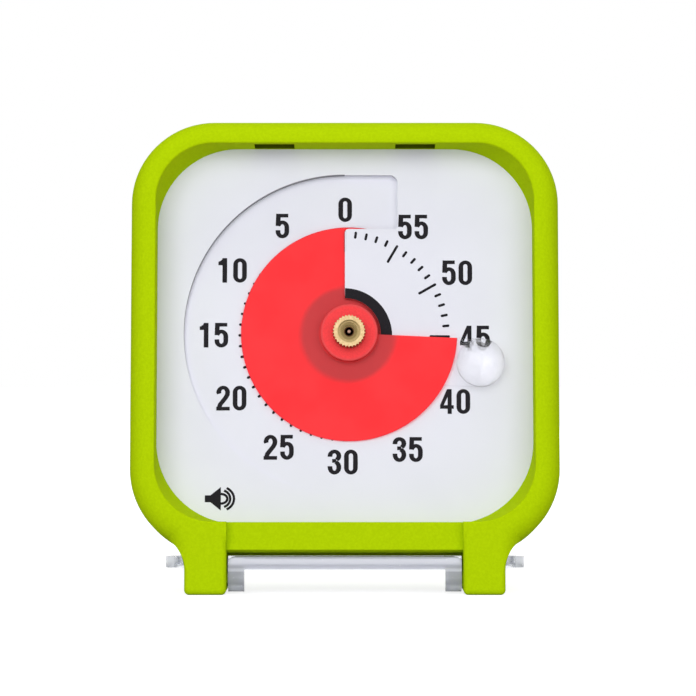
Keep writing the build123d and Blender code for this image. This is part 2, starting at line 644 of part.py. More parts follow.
def dial_plate():
    """Dial plate: flat over half a turn, then sinking along a helix to the slit, with a notch where the
    knob parks at zero, and posts that hold the movement off it."""
    inset = WALL + PLATE_PLAY
    outline = rounded(BODY_W - 2 * inset, BODY_H - 2 * inset, BODY_R - inset, BODY_Z)
    plate = layer(outline, RECESS, RECESS + PLATE_T)
    for x, z in screw_places():
        plate -= rod(SCREW_BOSS_R + PLATE_PLAY, RECESS - 1, RECESS + 3, x, z)
    dish_r = SUNK_R + SUNK_WALL
    pan_back = RECESS + RAMP_DROP + PLATE_T
    left_half = Circle(dish_r) & (Pos(-dish_r, 0) * Rectangle(2 * dish_r, 4 * dish_r))
    half = layer(left_half, RECESS, pan_back + 0.3)
    notch_z = (NOTCH_BOTTOM + SUNK_R) / 2
    notch_h = SUNK_R - NOTCH_BOTTOM
    pan_w = NOTCH_W + SUNK_WALL
    pan = Pos(pan_w / 2, notch_z + SUNK_WALL / 2) * Rectangle(pan_w, notch_h + SUNK_WALL)
    pan -= Pos(SHAFT_X, SHAFT_Z) * Circle(FILM_R + NOTCH_FLOOR_GAP)
    inside, past, start = CENTRE_HOLE_R / 2, 6.0, FLAT_END - 10
    under = RAMP_DROP - PLATE_T
    half -= helical(inside, dish_r + past, under, under - past, start, 360, RAMP_PITCH)
    plate = plate + half + layer(pan, RECESS, pan_back)
    for x in (-PLATE_POST_X, PLATE_POST_X):
        for z in (PLATE_POST_HIGH, PLATE_POST_LOW):
            plate += rod(PLATE_POST_R, RECESS + PLATE_T - 0.1, MOVE_FRONT, x, z)
    plate -= helical(inside, SUNK_R, past, RAMP_DROP, start, 360, RAMP_PITCH)
    pocket = Pos(NOTCH_W / 2, notch_z) * Rectangle(NOTCH_W, notch_h)
    plate -= layer(pocket, RECESS + PLATE_T, RECESS + RAMP_DROP)
    notch = fillet(pocket.vertices().group_by(Axis.X)[-1].sort_by(Axis.Y)[-1], NOTCH_TOP_R)
    notch = fillet(notch.vertices().group_by(Axis.X)[-1].sort_by(Axis.Y)[0], NOTCH_LOW_R)
    for end, away in ((NOTCH_BOTTOM, -1), (CENTRE_HOLE_R, 1)):
        corner = Pos(SLIT_END_R / 2, end + away * SLIT_END_R / 2) * Rectangle(SLIT_END_R, SLIT_END_R)
        notch += corner - Pos(SLIT_END_R, end + away * SLIT_END_R) * Circle(SLIT_END_R)
    plate -= layer(notch, RECESS - 1, RECESS + RAMP_DROP)
    return plate - rod(CENTRE_HOLE_R, RECESS - 1, RECESS + past)


def hub_keys(extra=0.0):
    """Front view of the hub's driving keys."""
    key = Pos(HUB_R, 0) * Rectangle(2 * (KEY_OUT + extra), KEY_W + 2 * extra)
    return Sketch() + [Rot(0, 0, 360 / KEYS * (k + 0.5)) * key for k in range(KEYS)]


def time_disc():
    """Time disc: one helical film of a little over a turn, keyed on the hub."""
    film_end = LEADING_EDGE + 360 + FILM_OVERLAP
    top = FILM_START + FILM_T
    film = helical(HUB_R + HUB_GAP, FILM_R, top, FILM_START, LEADING_EDGE, film_end, FILM_PITCH)
    return film - layer(hub_keys(HUB_GAP), RECESS - 5, RECESS + 5)


def turned(shape, angle):
    """A shape turned clockwise about the dial's centre, as seen from the front."""
    return Rot(0, angle, 0) * shape


def tab_height():
    """Height of the tab's underside above the dial."""
    return film_height(LEADING_EDGE + TAB_LAG)


def disc_tab():
    """Clear tab that carries the knob outside the film's rim."""
    half = TAB_W / 2
    outline = (
        Pos(KNOB_REACH, 0) * Circle(half) + Pos(KNOB_REACH / 2, 0) * Rectangle(KNOB_REACH, 2 * half)
    )
    outline = Pos(0, -half) * outline - Circle(FILM_R + 0.02)
    outer = outline & Pos(TAB_THICK_FROM + TAB_W, -half) * Rectangle(2 * TAB_W, 2 * TAB_W)
    under = RECESS - tab_height()
    tab = layer(outline, under - FILM_T, under) + layer(outer, under - TAB_T, under)
    return turned(tab, LEADING_EDGE - 90)


def setting_knob():
    """Clear domed knob on the tab."""
    base = RECESS - tab_height() - TAB_T
    dome = KNOB_H - KNOB_WAIST
    dome_r = (KNOB_R**2 + dome**2) / (2 * dome)
    ball = Pos(0, base - KNOB_H + dome_r, 0) * Sphere(dome_r)
    knob = rod(KNOB_R, base - KNOB_H - 1, base) & ball
    shoulder = knob.edges().filter_by(
        lambda edge: abs(edge.center().Y - base + KNOB_WAIST) < 0.05 and edge.length > KNOB_R
    )
    knob = fillet(shoulder, KNOB_EDGE_R)
    return turned(Pos(KNOB_REACH, 0, -TAB_W / 2) * knob, LEADING_EDGE - 90)


def disc_hub():
    """Capped hub that the film slides on, fast on the minute tube."""
    front = RECESS - HUB_RISE
    cap = rod(HUB_CAP_R, front, front + HUB_CAP_T)
    cap = chamfer(cap.edges().sort_by(Axis.Y)[0], HUB_CHAMFER)
    barrel = layer(Circle(HUB_R) + hub_keys(), front + HUB_CAP_T / 2, RECESS + HUB_TAIL)
    return cap + barrel - rod(TUBE_R, front - 1, RECESS + HUB_TAIL + 1)


def hub_washer():
    """Thin washer between the hub and its nut."""
    front = RECESS - HUB_RISE - WASHER_T
    return tube(WASHER_R, TUBE_R, front, front + WASHER_T)


def disc_nut():
    """Open knurled nut on the minute tube, with a stepped mouth."""
    front = nut_front()
    back = front + NUT_H
    nut = rod(NUT_R, front, back)
    nut = chamfer(nut.edges(), NUT_CHAMFER)
    groove = Pos(NUT_R + NUT_KNURL_R - NUT_KNURL_DEEP, 0) * Circle(NUT_KNURL_R)
    grooves = Sketch() + [Rot(0, 0, 360 * k / NUT_KNURLS) * groove for k in range(NUT_KNURLS)]
    nut -= layer(grooves, front - 1, back + 1)
    nut -= rod(TUBE_R, front - 1, back + 1)
    return nut - rod(TUBE_R + NUT_STEP_W, front - 1, front + NUT_STEP_DEEP)


def nut_front():
    """Depth of the nut's face."""
    return RECESS - HUB_RISE - WASHER_T - NUT_H


def minute_tube():
    """Brass minute tube from the centre wheel out to the nut."""
    front = nut_front() + TUBE_SHY
    whole = tube(TUBE_R, TUBE_BORE, front, CENTRE_WHEEL_Y + CENTRE_BOSS_T / 2 + 0.3)
    return whole - rod((TUBE_R + TUBE_BORE) / 2, front - 1, front + TUBE_MOUTH_DEEP)


# ---------------------------------------------------------------- movement


def arbor_distance():
    """Distance between the shaft and the third arbor."""
    return WHEEL_MODULE * (CENTRE_TEETH + PINION_TEETH) / 2


def second_module():
    """Module of the third wheel and the second pinion, which share that distance."""
    return 2 * arbor_distance() / (THIRD_TEETH + PINION_TEETH)


def third_place():
    """Front-view place of the third arbor."""
    angle = radians(THIRD_ANGLE)
    return arbor_distance() * cos(angle), arbor_distance() * sin(angle)


def centre_wheel():
    """Centre wheel, fast on the minute tube."""
    front, back = CENTRE_WHEEL_Y - WHEEL_T / 2, CENTRE_WHEEL_Y + WHEEL_T / 2
    rim = gear_sketch(CENTRE_TEETH, WHEEL_MODULE, THIRD_ANGLE) - wheel_holes(CENTRE_HOLES_AT, 0)
    wheel = layer(rim, front, back)
    wheel += rod(CENTRE_BOSS_R, CENTRE_WHEEL_Y - CENTRE_BOSS_T / 2, CENTRE_WHEEL_Y + CENTRE_BOSS_T / 2)
    return wheel - rod(TUBE_R, front - 1, back + 1)


def wheel_holes(distance, first):
    """Front view of the round holes between a wheel's spokes, about the wheel's own centre."""
    step = 360 / SPOKE_HOLES
    hole = Pos(distance, 0) * Circle(SPOKE_HOLE_R)
    return Sketch() + [Rot(0, 0, first + step * k) * hole for k in range(SPOKE_HOLES)]


def third_wheel():
    """Third wheel and its pinion, moulded in one piece with their arbor."""
    x, z = third_place()
    step = 360 / PINION_TEETH
    pinion = layer(
        Pos(x, z) * gear_sketch(PINION_TEETH, WHEEL_MODULE, THIRD_ANGLE + 180 + step / 2),
        CENTRE_WHEEL_Y - PINION_T / 2, THIRD_WHEEL_Y,
    )
    rim = gear_sketch(THIRD_TEETH, second_module(), THIRD_ANGLE + 180)
    rim -= wheel_holes(THIRD_HOLES_AT, THIRD_ANGLE + 36)
    wheel = layer(Pos(x, z) * rim, THIRD_WHEEL_Y - WHEEL_T / 2, THIRD_WHEEL_Y + WHEEL_T / 2)
    arbor = rod(ARBOR_THICK, MOVE_FRONT + MOVE_WALL + 0.1, BRIDGE_Y + BRIDGE_T, x, z)
    return wheel + pinion + arbor


def second_wheel():
    """Second wheel with its pinion, which turns once a minute."""
    step = 360 / PINION_TEETH
    pinion = layer(
        gear_sketch(PINION_TEETH, second_module(), THIRD_ANGLE + step / 2),
        THIRD_WHEEL_Y - PINION_T / 2, SECOND_WHEEL_Y,
    )
    wheel = layer(
        gear_sketch(SECOND_TEETH, SECOND_MODULE), SECOND_WHEEL_Y - WHEEL_T / 2, SECOND_WHEEL_Y + WHEEL_T / 2
    )
    return wheel + pinion - rod(ARBOR_R, MOVE_FRONT, MOVE_BACK)


def seconds_arbor():
    """Steel arbor of the second wheel, seen in the mouth of the nut."""
    return rod(ARBOR_R, nut_front() + ARBOR_SHY, BRIDGE_Y + BRIDGE_T)


def train_bridge():
    """Plate that carries the back pivots of the wheels."""
    x, z = third_place()
    bridge = block(
        (BRIDGE_LEFT, BRIDGE_RIGHT), (BRIDGE_Y, BRIDGE_Y + BRIDGE_T), (BRIDGE_LOW, BRIDGE_HIGH)
    )
    bridge -= rod(ARBOR_R + PIVOT_GAP, BRIDGE_Y - 1, BRIDGE_Y + 3)
    for px, pz in ((x, z), (ROTOR_X, ROTOR_Z)):
        bridge -= rod(ARBOR_THICK + PIVOT_GAP, BRIDGE_Y - 1, BRIDGE_Y + 3, px, pz)
    for px, pz in BRIDGE_POSTS:
        bridge -= rod(POST_SPIGOT_R, BRIDGE_Y - 1, BRIDGE_Y + 3, px, pz)
    return bridge


def movement_front_case():
    """Front half of the movement's case, with the battery tray under the wheels."""
    top, low = MOVE_ABOVE, TRAY_H - MOVE_BELOW
    half = MOVE_W / 2
    box = block((-half, half), (MOVE_FRONT, MOVE_SPLIT), (low, top))
    box -= block((-half + MOVE_WALL, half - MOVE_WALL), (MOVE_FRONT + MOVE_WALL, MOVE_SPLIT + 1),
                 (low + MOVE_WALL, top - MOVE_WALL))
    tray = block((-half, half), (MOVE_FRONT, TRAY_BACK), (-MOVE_BELOW, low))
    tray -= block((-half + MOVE_WALL, half - MOVE_WALL), (MOVE_FRONT + MOVE_WALL, TRAY_BACK + 1),
                  (-MOVE_BELOW + MOVE_WALL, low - MOVE_WALL))
    case = box + tray
    case -= rod(TUBE_R + PIVOT_GAP, MOVE_FRONT - 1, MOVE_FRONT + 3)
    for px, pz in BRIDGE_POSTS:
        case += rod(POST_R, MOVE_FRONT + 0.5, BRIDGE_Y, px, pz)
        case += rod(POST_SPIGOT_R, BRIDGE_Y - 1, BRIDGE_Y + BRIDGE_T, px, pz)
    x, z = third_place()
    case += rod(PIVOT_BOSS_R, MOVE_FRONT + 0.5, MOVE_FRONT + 1.5, x, z)
    case -= rod(ARBOR_THICK + PIVOT_GAP, MOVE_FRONT + 0.8, MOVE_FRONT + 3, x, z)
    return case


def movement_rear_case():
    """Rear half of the movement's case."""
    top, low = MOVE_ABOVE, TRAY_H - MOVE_BELOW
    half = MOVE_W / 2
    box = block((-half, half), (MOVE_SPLIT, MOVE_BACK), (low, top))
    return box - block((-half + MOVE_WALL, half - MOVE_WALL), (MOVE_SPLIT - 1, MOVE_BACK - MOVE_WALL),
                       (low + MOVE_WALL, top - MOVE_WALL))


def battery_cell():
    """AA cell."""
    middle = Pos(CELL_Y, door_z())
    half = CELL_L / 2
    can = across(middle * Circle(CELL_R), -half, half - CELL_CAP_L)
    can = chamfer(can.edges(), CELL_CHAMFER)
    return can + across(middle * Circle(CELL_CAP_R), half - CELL_CAP_L - 0.1, half)


def battery_spring():
    """Conical negative spring, of six-sided wire, on its contact plate."""
    inner = MOVE_W / 2 - MOVE_WALL
    reach = inner - CONTACT_T - CELL_L / 2 - SPRING_WIRE_R
    slope = degrees(atan2(SPRING_SLIM_R - SPRING_WIDE_R, reach))
    path = Edge.make_helix(reach / SPRING_TURNS, reach, SPRING_WIDE_R, angle=slope)
    section = Plane(origin=path @ 0, z_dir=path % 0) * RegularPolygon(SPRING_WIRE_R, 6)
    wire = Rot(0, 90, 0) * sweep(section, path=path, is_frenet=True)
    return contact_plate(-inner, CONTACT_T - inner) + Pos(CONTACT_T - inner, CELL_Y, door_z()) * wire


def contact_plate(left, right):
    """One of the two metal plates at the ends of the cell."""
    return block(
        (left, right), (CELL_Y - CONTACT_HALF_Y, CELL_Y + CONTACT_HALF_Y),
        (door_z() - CONTACT_HALF_Z, door_z() + CONTACT_HALF_Z),
    )


def battery_contact():
    """Positive contact."""
    inner = MOVE_W / 2 - MOVE_WALL
    bump = block(
        (CELL_L / 2, inner - CONTACT_T / 2), (CELL_Y - BUMP_HALF, CELL_Y + BUMP_HALF),
        (door_z() - BUMP_HALF, door_z() + BUMP_HALF),
    )
    return contact_plate(inner - CONTACT_T, inner) + bump


def stator():
    """Laminated stator with the rotor's hole in it."""
    plate = block((STATOR_LEFT, STATOR_RIGHT), (STATOR_FRONT, STATOR_BACK), (STATOR_LOW, STATOR_HIGH))
    plate += rod(ROTOR_R + STATOR_RING, STATOR_FRONT, STATOR_BACK, ROTOR_X, ROTOR_Z)
    return plate - rod(ROTOR_R + STATOR_GAP, STATOR_FRONT - 1, STATOR_BACK + 1, ROTOR_X, ROTOR_Z)


def rotor():
    """Magnet rotor with its arbor."""
    magnet = rod(ROTOR_R, ROTOR_FRONT, ROTOR_BACK, ROTOR_X, ROTOR_Z)
    front = MOVE_FRONT + MOVE_WALL + PIVOT_GAP
    return magnet + rod(ARBOR_THICK, front, BRIDGE_Y + BRIDGE_T, ROTOR_X, ROTOR_Z)


def drive_coil():
    """Copper coil on its bobbin, behind the stator."""
    coil = across(Pos(COIL_Y, COIL_Z) * Circle(COIL_R), COIL_LEFT, COIL_RIGHT)
    flange = Pos(COIL_Y, COIL_Z) * Rectangle(COIL_FLANGE, COIL_FLANGE)
    coil += across(flange, COIL_LEFT - COIL_FLANGE_T, COIL_LEFT)
    return coil + across(flange, COIL_RIGHT, COIL_RIGHT + COIL_FLANGE_T)


def circuit_board():
    """Circuit board behind the bridge, with its chip under resin."""
    front = BRIDGE_Y + BRIDGE_T + BOARD_GAP
    chip_front = front + BOARD_T - 0.1
    return block(BOARD_X, (front, front + BOARD_T), BOARD_Z) + block(
        CHIP_X, (chip_front, chip_front + CHIP_T), CHIP_Z
    )


def buzzer():
    """Piezo buzzer that sounds at zero, behind the sound slots."""
    back = MOVE_BACK - MOVE_WALL
    can = rod(BUZZER_R, back - BUZZER_T, back, BUZZER_X, BUZZER_Z)
    return can - rod(BUZZER_HOLE_R, back - BUZZER_HOLE_DEEP, back + 1, BUZZER_X, BUZZER_Z)


def alert_switch_body():
    """Slide switch body, inside the rear cover."""
    back = DEPTH - BACK_WALL
    pocket = (SWITCH_KEY_H + SWITCH_TRAVEL) / 2 + SWITCH_PLAY
    body = block(
        (-SWITCH_X - SWITCH_BODY_HALF, -SWITCH_X + SWITCH_BODY_HALF), (back - SWITCH_BODY_T, back),
        (SWITCH_Z - SWITCH_BODY_HIGH, SWITCH_Z + SWITCH_BODY_HIGH),
    )
    key_half = SWITCH_KEY_HALF + SWITCH_PLAY
    return body - block(
        (-SWITCH_X - key_half, -SWITCH_X + key_half), (back - SWITCH_KEY_DEEP - SWITCH_PLAY, back + 1),
        (SWITCH_Z - pocket, SWITCH_Z + pocket),
    )


def alert_switch_slider():
    """Slider that turns the end-of-time alert on or off, stored at its lower stop."""
    back = DEPTH - BACK_WALL
    low = SWITCH_Z - (SWITCH_TRAVEL + SWITCH_KEY_H) / 2
    return block(
        (-SWITCH_X - SWITCH_KEY_HALF, -SWITCH_X + SWITCH_KEY_HALF),
        (back - SWITCH_KEY_DEEP, DEPTH + SWITCH_KEY_PROUD), (low, low + SWITCH_KEY_H),
    )


SHAPES = {
    "front_bezel": front_bezel,
    "rear_cover": rear_cover,
    "case_screws": case_screws,
    "battery_door": battery_door,
    "clear_cover": clear_cover,
    "dial_plate": dial_plate,
    "time_disc": time_disc,
    "disc_tab": disc_tab,
    "setting_knob": setting_knob,
    "disc_hub": disc_hub,
    "hub_washer": hub_washer,
    "disc_nut": disc_nut,
    "minute_tube": minute_tube,
    "centre_wheel": centre_wheel,
    "third_wheel": third_wheel,
    "second_wheel": second_wheel,
    "seconds_arbor": seconds_arbor,
    "train_bridge": train_bridge,
    "movement_front_case": movement_front_case,
    "movement_rear_case": movement_rear_case,
    "battery_cell": battery_cell,
    "battery_spring": battery_spring,
    "battery_contact": battery_contact,
    "stator": stator,
    "rotor": rotor,
    "drive_coil": drive_coil,
    "circuit_board": circuit_board,
    "buzzer": buzzer,
    "alert_switch_body": alert_switch_body,
    "alert_switch_slider": alert_switch_slider,
}

# What the shaft carries moves with it.
ON_CASE = (
    "front_bezel", "rear_cover", "case_screws", "battery_door", "clear_cover", "dial_plate",
    "alert_switch_body", "alert_switch_slider",
)

leant = {}
for name, make in SHAPES.items():
    shape = make() if name in ON_CASE else Pos(SHAFT_X, 0, SHAFT_Z) * make()
    leant[name] = Rot(-LEAN, 0, 0) * shape
boxes = [shape.bounding_box() for shape in leant.values()]
front = min(box.min.Y for box in boxes)
back = max(box.max.Y for box in boxes)
bottom = min(box.min.Z for box in boxes)
PLACE = Pos(0, -(front + back) / 2, -bottom)

for name, shape in leant.items():
    export_step(PLACE * shape, f"parts/{name}.step")
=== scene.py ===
"""Looks for the 60-minute visual countdown timer: finishes for its moulded, printed, clear and metal
pieces, the print on its dial, and a plain studio."""

import json
from math import atan2, cos, degrees, hypot, radians, sin

import bmesh
import bpy
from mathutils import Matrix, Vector


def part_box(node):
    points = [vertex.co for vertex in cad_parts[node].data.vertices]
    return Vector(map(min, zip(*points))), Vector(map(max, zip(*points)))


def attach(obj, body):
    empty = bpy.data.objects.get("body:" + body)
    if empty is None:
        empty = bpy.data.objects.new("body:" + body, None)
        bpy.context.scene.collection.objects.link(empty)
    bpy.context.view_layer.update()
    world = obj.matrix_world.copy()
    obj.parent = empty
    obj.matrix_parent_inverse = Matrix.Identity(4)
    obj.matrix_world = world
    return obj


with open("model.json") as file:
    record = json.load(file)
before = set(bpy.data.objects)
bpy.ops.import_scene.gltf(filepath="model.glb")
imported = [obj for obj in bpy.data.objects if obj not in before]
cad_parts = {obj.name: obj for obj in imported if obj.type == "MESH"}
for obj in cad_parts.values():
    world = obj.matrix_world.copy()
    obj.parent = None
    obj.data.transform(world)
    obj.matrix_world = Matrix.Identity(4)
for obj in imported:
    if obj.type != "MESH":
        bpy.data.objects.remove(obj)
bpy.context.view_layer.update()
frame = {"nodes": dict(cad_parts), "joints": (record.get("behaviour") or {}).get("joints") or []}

MM = 0.001

# The case's own frame, from the disc's joint: the dial faces along -BACK, and UP runs up the dial.
DISC_JOINT = next(joint for joint in frame["joints"] if joint["name"] == "disc_turn")
RIGHT = Vector((1, 0, 0))
BACK = Vector(DISC_JOINT["axis"])
UP = RIGHT.cross(BACK)
SHAFT = Vector(DISC_JOINT["pos_m"])  # on the shaft, level with the case's lip

# The floor's own directions, which the folded cover follows
FLOOR_BACK = Vector((0, 1, 0))
FLOOR_UP = Vector((0, 0, 1))

# Dial and disc, in millimetres. Places are across and up from the dial's centre. Depths are behind the lip.
SHAFT_X, SHAFT_Z = 0.75, 0.05  # the shaft
LIP_CENTRE = SHAFT - (RIGHT * SHAFT_X + UP * SHAFT_Z) * MM
DIAL_DEPTH = 6.7
SINK = 1.3  # how far the dial's sunk half lies back where it ends at the slit
SUNK_R = 28.8
NOTCH_W = 9.45
NOTCH_BOTTOM = 19.0
HOLE_R = 6.45  # the dial's centre hole, where the black ring round it starts
FILM_R = 19.35  # the red film's rim, from the shaft


class Level:
    """A number, colour or shader that a node gives."""

    def __init__(self, nodes, socket):
        self.nodes = nodes
        self.socket = socket

    def maths(self, operation, first, second=None):
        values = {0: first} if second is None else {0: first, 1: second}
        return self.nodes.node("ShaderNodeMath", {"operation": operation}, values)

    def __add__(self, other):
        return self.maths("ADD", self, other)

    def __sub__(self, other):
        return self.maths("SUBTRACT", self, other)

    def __rsub__(self, other):
        return self.maths("SUBTRACT", other, self)

    def __mul__(self, other):
        return self.maths("MULTIPLY", self, other)

    def __pow__(self, other):
        return self.maths("POWER", self, other)

    __radd__ = __add__
    __rmul__ = __mul__

    def sine(self):
        return self.maths("SINE", self)

    def size(self):
        return self.maths("ABSOLUTE", self)

    def either(self, other):
        """The larger of two."""
        return self.maths("MAXIMUM", self, other)

    def rising(self, low, high):
        """0 under low, 1 over high, and smooth between."""
        return self.nodes.node(
            "ShaderNodeMapRange", {"interpolation_type": "SMOOTHSTEP"},
            {0: self, 1: low, 2: high, 3: 0.0, 4: 1.0},
        )

    def band(self, start, full, fading, end):
        """0 before start, 1 from full to fading, and 0 again after end."""
        return self.rising(start, full) * (1 - self.rising(fading, end))


class Nodes:
    """The nodes of a material or a world."""

    def __init__(self, owner):
        owner.use_nodes = True
        self.owner = owner
        self.tree = owner.node_tree
        self.tree.nodes.clear()

    def node(self, kind, settings=None, values=None, out=0):
        made = self.tree.nodes.new(kind)
        for name, setting in (settings or {}).items():
            setattr(made, name, setting)
        for name, value in (values or {}).items():
            if isinstance(value, Level):
                self.tree.links.new(value.socket, made.inputs[name])
            else:
                made.inputs[name].default_value = value
        return None if out is None else Level(self, made.outputs[out])

    def ray(self, kind):
        """1 for rays of a kind, such as "Camera", and 0 for all others."""
        return self.node("ShaderNodeLightPath", out=f"Is {kind} Ray")


class Finish(Nodes):
    """A procedural material and the nodes that make it."""

    def __init__(self, name):
        super().__init__(bpy.data.materials.new(name))
        self.place = self.node("ShaderNodeTexCoord", out="Object")

    def blend(self, share, first, second):
        """One colour turning into another by a share from 0 to 1."""
        return self.node(
            "ShaderNodeMix", {"data_type": "RGBA"}, {0: share, 6: opaque(first), 7: opaque(second)}, out=2
        )

    def speckle(self, grain_mm, detail=2.0, roughness=0.5, stretch=None):
        """Noise whose grains are about that many millimetres across."""
        place = self.place
        if stretch:
            place = self.node("ShaderNodeVectorMath", {"operation": "MULTIPLY"}, {0: place, 1: stretch})
        return self.node(
            "ShaderNodeTexNoise", {},
            {"Vector": place, "Scale": 1 / (grain_mm * MM), "Detail": detail, "Roughness": roughness},
        )

    def pebbles(self, size_mm):
        """Small rounded cells, as on a spark-eroded mould."""
        return self.node(
            "ShaderNodeTexVoronoi", {"feature": "SMOOTH_F1"},
            {"Vector": self.place, "Scale": 1 / (size_mm * MM), "Smoothness": 0.6},
        )

    def along(self, direction, start=SHAFT):
        """Millimetres along a direction from a point of the piece."""
        subtract, dot = {"operation": "SUBTRACT"}, {"operation": "DOT_PRODUCT"}
        offset = self.node("ShaderNodeVectorMath", subtract, {0: self.place, 1: tuple(start)})
        return self.node("ShaderNodeVectorMath", dot, {0: offset, 1: tuple(direction / MM)}, out="Value")

    def from_axis(self, centre=SHAFT):
        """Millimetres from a line through a point, square to the dial."""
        across, high = self.along(RIGHT, centre), self.along(UP, centre)
        return (across * across + high * high) ** 0.5

    def turned_away(self, blend):
        """0 where the surface faces the eye, up to 1 where it is seen edge on."""
        return self.node("ShaderNodeLayerWeight", {}, {"Blend": blend}, out="Facing")

    def surface(self, colour, roughness, bumps, bump_mm, **values):
        """The main shader. Further words are the shader's own socket names with _ for a space."""
        normal = self.node("ShaderNodeBump", {}, {"Height": bumps, "Strength": 1.0, "Distance": bump_mm * MM})
        named = {name.replace("_", " "): value for name, value in values.items()}
        return self.node(
            "ShaderNodeBsdfPrincipled", {},
            {"Base Color": opaque(colour), "Roughness": roughness, "Normal": normal, **named},
        )

    def window(self, tint):
        """A shader that light passes straight through."""
        return self.node("ShaderNodeBsdfTransparent", {}, {"Color": opaque(tint)})

    def mixed(self, share, first, second):
        """One shader turning into another by a share from 0 to 1."""
        return self.node("ShaderNodeMixShader", {}, {0: share, 1: first, 2: second})

    def done(self, shader):
        self.node("ShaderNodeOutputMaterial", {}, {"Surface": shader}, out=None)
        return self.owner


def opaque(colour):
    """A colour with its alpha, or the level as it is."""
    return colour if isinstance(colour, Level) else (*colour[:3], 1.0)


# ---------------------------------------------------------------- finishes

# Catch pockets in the opening's top wall, in millimetres
CATCH_X = 12.6  # their middles, each side of the dial's centre
CATCH_HALF_W = 3.6
CATCH_FRONT, CATCH_BACK = 1.35, 6.6  # behind the lip
CATCH_BOTTOM, CATCH_TOP = 33.45, 35.5  # above the shaft


def moulded_green():
    """Spark-eroded case plastic, with painted shade in the catch pockets."""
    finish = Finish("moulded_green")
    grain = finish.speckle(0.45, 3.0, 0.6)
    pits = finish.pebbles(0.55)
    tone = finish.speckle(9.0)
    colour = finish.blend(grain.rising(0.35, 0.7), (0.385, 0.56, 0.001), (0.43, 0.61, 0.002))
    colour = finish.blend(tone * 0.25, colour, (0.40, 0.55, 0.001))
    across, back, high = (finish.along(way) for way in (RIGHT, BACK, UP))
    from_middle = ((across + SHAFT_X).size() - CATCH_X).size()
    # Painted shade: the catch pockets are coloured near black, as if in shadow.
    pocket_shade = back.band(CATCH_FRONT, CATCH_FRONT + 0.1, CATCH_BACK, CATCH_BACK + 0.1)
    pocket_shade = pocket_shade * high.band(CATCH_BOTTOM - 0.02, CATCH_BOTTOM + 0.06, CATCH_TOP, CATCH_TOP + 0.1)
    pocket_shade = pocket_shade * (1 - from_middle.rising(CATCH_HALF_W, CATCH_HALF_W + 0.05))
    colour = finish.blend(pocket_shade * 0.8, colour, (0.01, 0.012, 0.001))
    skin = finish.surface(
        colour, 0.8 + grain * 0.15, bumps=grain + pits * 0.7, bump_mm=0.03, Specular_IOR_Level=0.02
    )
    return finish.done(skin)


STEP_FADE = 16.0  # the painted shade line in the step fades from so far above the dial's centre to as far below it


def dial_white():
    """Satin white, with a painted shade line in the corner of its step and painted red light on the wall of
    its centre hole.
    """
    finish = Finish("dial_white")
    grain = finish.speckle(0.25)
    tone = finish.speckle(14.0)
    colour = finish.blend(tone.rising(0.3, 0.7), (0.71, 0.715, 0.795), (0.73, 0.735, 0.815))
    across, high = finish.along(RIGHT, LIP_CENTRE), finish.along(UP, LIP_CENTRE)
    reach = finish.from_axis(LIP_CENTRE)
    # Painted red light on the wall of the centre hole.
    colour = finish.blend(1 - reach.rising(HOLE_R, HOLE_R + 0.05), colour, (0.40, 0.02, 0.025))
    # Painted shade: a dark line in the corner of the dial's step, fading out downwards where the step gets
    # shallower.
    step_shade = reach.band(SUNK_R - 0.03, SUNK_R - 0.01, SUNK_R + 0.06, SUNK_R + 0.12)
    step_shade = step_shade * (1 - across.rising(-0.1, 0.0)) * high.rising(-STEP_FADE, STEP_FADE)
    colour = finish.blend(step_shade * 0.8, colour, (0.08, 0.08, 0.10))
    sheet = finish.surface(colour, 0.42 + grain * 0.1, bumps=grain, bump_mm=0.006, Specular_IOR_Level=0.2)
    return finish.done(sheet)


RED_IN_SHADE = (0.50, 0.078, 0.085)
RING_SHADE = (4.9, 5.6, 7.9, 9.3)  # millimetres from the shaft where the black ring shows through the film


def film_red():
    """Printed film, with painted shade where the dial's black ring shows through and along its cut edge.
    Lamps shine through it.
    """
    finish = Finish("film_red")
    grain = finish.speckle(0.4)
    tone = finish.speckle(8.0)
    colour = finish.blend(tone.rising(0.3, 0.7), (1.0, 0.047, 0.058), (1.0, 0.059, 0.070))
    reach = finish.from_axis()
    # Painted shade where the dial's black ring would show through the film.
    colour = finish.blend(reach.band(*RING_SHADE) * 0.68, colour, RED_IN_SHADE)
    # Painted shade: a thin dark line along the film's cut edge.
    rim_shade = reach.rising(FILM_R - 0.16, FILM_R - 0.06)
    colour = finish.blend(rim_shade * 0.4, colour, (0.30, 0.03, 0.10))
    film = finish.surface(colour, 0.4 + grain * 0.12, bumps=grain, bump_mm=0.004, Specular_IOR_Level=0.12)
    passed = finish.ray("Shadow") * 0.6 + 0.38
    return finish.done(finish.mixed(passed, film, finish.window((1.0, 0.25, 0.28))))


HUB_CAP_R = 5.1


def hub_red():
    """Moulded plastic, with painted shade towards the cap's rim."""
    finish = Finish("hub_red")
    grain = finish.speckle(0.3)
    colour = finish.blend(grain.rising(0.3, 0.7), (0.84, 0.036, 0.042), (0.92, 0.043, 0.050))
    # Painted shade towards the cap's rim.
    colour = finish.blend(finish.from_axis().rising(HUB_CAP_R - 0.6, HUB_CAP_R) * 0.5, colour, RED_IN_SHADE)
    plastic = finish.surface(colour, 0.38 + grain * 0.1, bumps=grain, bump_mm=0.006, Specular_IOR_Level=0.15)
    return finish.done(plastic)


NUT_STEP_R = 2.15  # the step in the nut's face, round the tube's end
TUBE_END_R = 1.55
TUBE_MOUTH_R = 1.0
LATHE_WAVE = 42.0  # radians a millimetre


